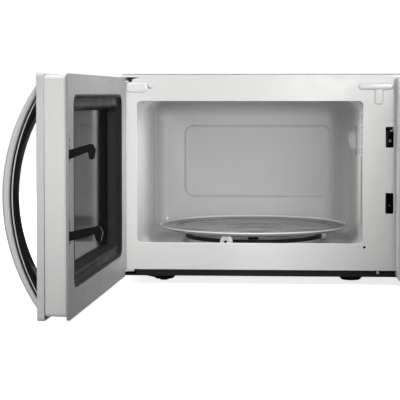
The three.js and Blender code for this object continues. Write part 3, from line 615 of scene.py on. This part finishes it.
def perforated_screen():
    """A sheet of staggered six-sided holes, one ring of faces round each."""
    row_step = HOLE_PITCH * math.sqrt(3) / 2
    cell_radius = HOLE_PITCH / math.sqrt(3)
    work = bmesh.new()
    for row in range(int((SCREEN_TOP - SCREEN_BOTTOM) / row_step)):
        for column in range(int((SCREEN_RIGHT - SCREEN_LEFT) / HOLE_PITCH)):
            cx = SCREEN_LEFT + HOLE_PITCH * (column + 0.5 + 0.5 * (row % 2)) - HOLE_PITCH / 4
            cz = SCREEN_BOTTOM + row_step * (row + 0.5)
            outer, inner = [], []
            for k in range(6):
                angle = math.radians(60 * k + 30)
                x, z = math.cos(angle), math.sin(angle)
                outer.append(work.verts.new(at(cx + cell_radius * x, SCREEN_Y, cz + cell_radius * z)))
                inner.append(work.verts.new(at(cx + HOLE_RADIUS * x, SCREEN_Y, cz + HOLE_RADIUS * z)))
            for k in range(6):
                j = (k + 1) % 6
                work.faces.new((outer[k], outer[j], inner[j], inner[k]))
    bmesh.ops.remove_doubles(work, verts=work.verts, dist=2e-5)
    bmesh.ops.transform(work, matrix=OPEN, verts=work.verts)
    mesh = mesh_from(work, "door_screen_fine")
    new_piece("door_screen_fine", mesh, "door", "screen", ["door_screen"])


SEAM_CORNER, WINDOW_CORNER = 13.7, 8.0


def choke_cover():
    """The dark insert round the window: a bead at its seam, a flat band and a rounded drop to the film."""
    seam = (-216.2, 123.2, 47.8, 285.7)
    window = (-196.5, 103.5, 68, 264)
    # Each point is its share of the way from the seam to the window, and its Y on the closed door.
    profile = [(0, -4.3), (0, -1.9), (0.01, -1.35), (0.03, -1.12), (0.09, -1.12), (0.125, -1.4)]
    profile += [(0.145, -2.0), (0.165, -4.4), (0.19, -5.2), (0.24, -5.6), (0.55, -5.8), (0.62, -5.5)]
    profile += [(0.68, -5.35), (0.74, -5.6), (0.79, -6.5), (0.82, -8), (0.93, -16.6), (0.96, -18.2)]
    profile += [(1.0, -18.8), (1.0, -19.5), (0.9, -19.5), (0.76, -9.2), (0.66, -7.4), (0.12, -7.3)]
    profile += [(0.07, -5.6)]
    loops = []
    for share, y in profile:
        left, right, bottom, top = (a + (b - a) * share for a, b in zip(seam, window))
        corner = SEAM_CORNER + (WINDOW_CORNER - SEAM_CORNER) * share
        outline = rounded_rectangle(left, right, bottom, top, corner, 9)
        loops.append([at(x, y, z) for x, z in outline])
    mesh = mesh_from(ring_loft(loops, OPEN), "choke_cover_fine", 60)
    plastic = MATERIALS["choke_plastic"]
    new_piece("choke_cover_fine", mesh, "door", "black_plastic", ["door_choke_cover"], plastic)


DOOR_FACE = -40.5
HANDLE_X = 130
HANDLE_STEPS = 40
HANDLE_GAP = 0.3


def bow_points(low_end, high_end, reach):
    """An arc standing off the closed door's face, as Y and Z from its low end to its high end."""
    half = (high_end - low_end) / 2
    radius = (half * half + reach * reach) / (2 * reach)
    sweep = math.asin(half / radius)
    points = []
    for step in range(HANDLE_STEPS + 1):
        angle = sweep * (2 * step / HANDLE_STEPS - 1)
        out = radius * math.cos(angle) - (radius - reach)
        points.append((DOOR_FACE - HANDLE_GAP - out, (low_end + high_end) / 2 + radius * math.sin(angle)))
    return points


def bow_piece(name, slot, outer, inner, half_width, rounding, replaced=()):
    """A smooth bar between two bows: a round-cornered section carried from the low end to the high end."""
    loops = []
    for (y0, z0), (y1, z1) in zip(bow_points(*outer), bow_points(*inner)):
        span = math.hypot(y1 - y0, z1 - z0)
        radius = min(rounding, span * 0.35)
        section = rounded_rectangle(HANDLE_X - half_width, HANDLE_X + half_width, 0, span, radius, 5)
        loops.append([at(x, y0 + (y1 - y0) * v / span, z0 + (z1 - z0) * v / span) for x, v in section])
    new_piece(name, mesh_from(loft(loops, transform=OPEN), name, 50), "door", slot, replaced)


def handle():
    """A bright outer bow on a dark liner, with a bright line let into the liner's sides.

    Each bow is its low end, its high end and how far it stands off the door.
    """
    bar, bar_back = (21, 302, 46), (34, 289, 36.2)
    liner, liner_back = (34.8, 288.2, 35.9), (58, 266, 29.5)
    strip, strip_back = (38.5, 284.5, 33.8), (41, 282, 32.3)
    bow_piece("handle_bar_fine", "silver_plastic", bar, bar_back, 12, 3.2, ["handle_bar"])
    bow_piece("handle_liner_fine", "black_plastic", liner, liner_back, 11, 2.0, ["handle_liner"])
    bow_piece("handle_trim_strip", "silver_plastic", strip, strip_back, 11.4, 0.3)


# ---------------------------------------------------------------- control panel
PANEL_LEFT, PANEL_RIGHT = 165.5, 247.5
KEY_FACE = -40.5
KEY_GAP = 4
KEY_CORNER = 2.2
ROW_STEP = 20
NUMBER_TOP, NUMBER_HEIGHT = 160, 16
PRESET_TOP, PRESET_HEIGHT = 250, 15
WIDE_BOTTOM, WIDE_TOP = 34, 60
CLOCK_Z = 281
CLOCK_SIZE, DIGIT_SIZE = 19, 11
PRINT_DEPTH = 0.05
PRINT_RISE = 0.34


def key_pad(name, left, right, bottom, top):
    """A slightly raised key on the membrane."""
    loops = []
    for shrink, rise in ((0, 0.0), (0.25, 0.22), (0.8, 0.3)):
        corners = left + shrink, right - shrink, bottom + shrink, top - shrink
        outline = rounded_rectangle(*corners, KEY_CORNER - shrink, 4)
        loops.append([at(x, KEY_FACE - rise, z) for x, z in outline])
    mesh = mesh_from(loft(loops), name, 50)
    new_piece(name, mesh, "cabinet", "keypad_film", (), MATERIALS["key_film"])


def digit(name, text, x, z, size):
    """Generic digits, raised a little off their key."""
    curve = bpy.data.curves.new(name, "FONT")
    curve.body = text
    curve.size = size * MM
    curve.align_x = "CENTER"
    curve.align_y = "CENTER"
    curve.extrude = PRINT_DEPTH * MM
    label = bpy.data.objects.new(name, curve)
    bpy.context.scene.collection.objects.link(label)
    place = at(x, KEY_FACE - PRINT_RISE, z)
    label.matrix_world = Matrix.Translation(place) @ Matrix.Rotation(math.radians(90), 4, "X")
    bpy.context.view_layer.update()
    mesh = bpy.data.meshes.new_from_object(label.evaluated_get(bpy.context.evaluated_depsgraph_get()))
    mesh.transform(label.matrix_world)
    bpy.data.objects.remove(label)
    new_piece(name, mesh, "cabinet", "keypad_film", (), MATERIALS["marking"])


def control_panel():
    """The clock, ten number keys, eight preset keys and two wide ones."""
    digit("clock_digits", "12:00", (PANEL_LEFT + PANEL_RIGHT) / 2, CLOCK_Z, CLOCK_SIZE)
    width = (PANEL_RIGHT - PANEL_LEFT - 4 * KEY_GAP) / 3
    for index, text in enumerate("1234567890"):
        column, row = (index % 3, index // 3) if index < 9 else (1, 3)
        left = PANEL_LEFT + KEY_GAP + column * (width + KEY_GAP)
        top = NUMBER_TOP - row * ROW_STEP
        key_pad(f"key_{text}", left, left + width, top - NUMBER_HEIGHT, top)
        digit(f"digit_{text}", text, left + width / 2, top - NUMBER_HEIGHT / 2, DIGIT_SIZE)
    wide = width * 1.5 + KEY_GAP / 2
    for column in range(2):
        left = PANEL_LEFT + KEY_GAP + column * (wide + KEY_GAP)
        for row in range(4):
            top = PRESET_TOP - row * ROW_STEP
            key_pad(f"preset_key_{row}_{column}", left, left + wide, top - PRESET_HEIGHT, top)
        key_pad(f"wide_key_{column}", left, left + wide, WIDE_BOTTOM, WIDE_TOP)


# ---------------------------------------------------------------- everything the CAD shapes already hold
def refine_the_rest():
    """Rounded edges for the other nodes: each with its bevel's width and steps."""
    for node, width, segments in (
        ("front_plate", 0.35, 3), ("outer_cover", 0.3, 2), ("base_plate", 0.3, 2), ("rear_panel", 0.25, 2),
        ("control_panel_housing", 1.6, 4), ("display_window", 0.25, 2), ("keypad", 0.25, 2),
        ("door_outer_frame", 1.1, 3), ("door_glass", 0.5, 2), ("door_pan", 0.35, 2),
        ("door_inner_film", 0.2, 1), ("door_trim_frame", 0.9, 3), ("latch_lever", 0.5, 2),
        ("waveguide_cover", 0.3, 2), ("roller_ring", 0.6, 2), ("turntable_coupler", 0.8, 2),
        ("hinge_plate_upper", 0.4, 2), ("hinge_plate_lower", 0.4, 2), ("cord_inlet", 0.5, 2),
        ("hinge_screw", 0.25, 2), ("base_screw", 0.25, 2), ("rear_screw_1", 0.3, 2), ("rear_screw_2", 0.3, 2),
        ("latch_board", 0.4, 2), ("fan_shroud", 0.3, 2), ("fan_blade", 0.4, 2), ("fan_motor", 0.5, 2),
        ("magnetron", 0.4, 2), ("hv_transformer", 1.0, 2), ("hv_capacitor", 0.8, 2),
        ("waveguide_duct", 0.4, 2), ("filter_board", 0.3, 1), ("control_board", 0.3, 1),
        ("oven_lamp", 0.3, 2), ("turntable_motor", 0.5, 2),
        ("handle_screw_1", 0.2, 1), ("handle_screw_2", 0.2, 1), ("latch_spring", 0, 0),
    ):
        refine(node, width, segments)
    for index in range(1, 4):
        refine(f"roller_wheel_{index}", 0.8, 3)
        refine(f"door_switch_{index}", 0.4, 2)
        refine(f"switch_plunger_{index}", 0.3, 2)
    for place in ("front_left", "front_right", "rear_left", "rear_right"):
        refine(f"foot_{place}", 0.4, 2)


# ---------------------------------------------------------------- studio
WEAK_FILL = 1


def aim(name, light, place, target, power):
    """A lamp turned from one place to another, unseen by the camera; a weak fill is left out of gloss too."""
    light.energy = power
    holder = bpy.data.objects.new(name, light)
    holder.location = place
    holder.rotation_euler = (target - place).to_track_quat("-Z", "Y").to_euler()
    holder.visible_camera = False
    holder.visible_glossy = power > WEAK_FILL
    bpy.context.scene.collection.objects.link(holder)


def area_light(name, place, target, size, power):
    light = bpy.data.lights.new(name, "AREA")
    light.shape = "RECTANGLE"
    light.size, light.size_y = size
    aim(name, light, place, target, power)


def spot_light(name, place, target, cone, power, radius, blend):
    light = bpy.data.lights.new(name, "SPOT")
    light.spot_size = math.radians(cone)
    light.spot_blend = blend
    light.shadow_soft_size = radius
    aim(name, light, place, target, power)


def make_world():
    """A white backdrop to the camera, and a much weaker even light on the object."""
    world = bpy.data.worlds.new("studio")
    bpy.context.scene.world = world
    world.use_nodes = True
    tree = world.node_tree
    tree.nodes.clear()
    seen = tree.nodes.new("ShaderNodeBackground")
    seen.inputs["Color"].default_value = (1, 1, 1, 1)
    seen.inputs["Strength"].default_value = 1.02
    lit = tree.nodes.new("ShaderNodeBackground")
    lit.inputs["Color"].default_value = (1, 1, 1, 1)
    lit.inputs["Strength"].default_value = 0.24
    path = tree.nodes.new("ShaderNodeLightPath")
    mix = tree.nodes.new("ShaderNodeMixShader")
    output = tree.nodes.new("ShaderNodeOutputWorld")
    tree.links.new(path.outputs["Is Camera Ray"], mix.inputs["Fac"])
    tree.links.new(lit.outputs["Background"], mix.inputs[1])
    tree.links.new(seen.outputs["Background"], mix.inputs[2])
    tree.links.new(mix.outputs["Shader"], output.inputs["Surface"])


def make_floor():
    """A pale floor that looks as bright as the backdrop but throws little light back."""
    work = bmesh.new()
    bmesh.ops.create_grid(work, x_segments=1, y_segments=1, size=6)
    mesh = bpy.data.meshes.new("floor")
    work.to_mesh(mesh)
    work.free()
    floor = bpy.data.objects.new("floor", mesh)
    floor.location = (0, 0, cad_low.z - 0.2 * MM)
    bpy.context.scene.collection.objects.link(floor)
    nodes = Nodes("floor")
    path = nodes.add("ShaderNodeLightPath").outputs["Is Camera Ray"]
    colours = nodes.tint(path, (0.30, 0.30, 0.30), (0.86, 0.86, 0.86))
    nodes.link(colours, nodes.shader.inputs["Base Color"])
    nodes.link(path, nodes.shader.inputs["Emission Strength"])
    glow = nodes.tint(nodes.noise(3.0), (0.78, 0.78, 0.78), (0.82, 0.82, 0.82))
    nodes.link(glow, nodes.shader.inputs["Emission Color"])
    nodes.shader.inputs["Roughness"].default_value = 0.6
    mesh.materials.append(nodes.material)


def make_studio():
    """A key for the plate, two for the door, soft light all round and two weak fills in the cavity."""
    scene = bpy.context.scene
    scene.view_settings.view_transform = "Standard"
    make_world()
    make_floor()
    spot_light("front_key", at(350, -2500, 420), at(-150, 0, 250), 14.3, 104, 0.1, 0.45)
    spot_light("door_key", at(750, -1150, 900), at(-260, -250, 285), 19, 44, 0.15, 1.0)
    spot_light("edge_key", at(-1100, -2300, 450), at(-300, -412, 60), 13, 48, 0.15, 1.0)
    area_light("top_soft", at(100, -500, 1500), at(0, 0, 150), (1.4, 1.0), 13)
    area_light("back_soft", at(-200, 1700, 900), at(0, 300, 150), (1.6, 1.0), 11)
    area_light("right_soft", at(1500, 950, 560), at(256, 180, 150), (1.2, 0.9), 9)
    area_light("left_soft", at(-1600, 700, 560), at(-256, 0, 150), (1.2, 0.9), 9)
    area_light("cavity_front", at(-50, 42, 270), at(-50, 46, 50), (0.25, 0.04), 0.42)
    fill = bpy.data.lights.new("cavity_fill", "POINT")
    fill.shadow_soft_size = 0.03
    aim("cavity_fill", fill, at(-90, 70, 195), at(-90, 300, 195), 0.55)


cavity_interior()
lamp_dome()
plate_ribs()
glass_tray()
for number, angle in enumerate((30, 150, 270), start=1):
    tray_lug(number, angle)
perforated_screen()
choke_cover()
handle()
control_panel()
refine_the_rest()
make_studio()
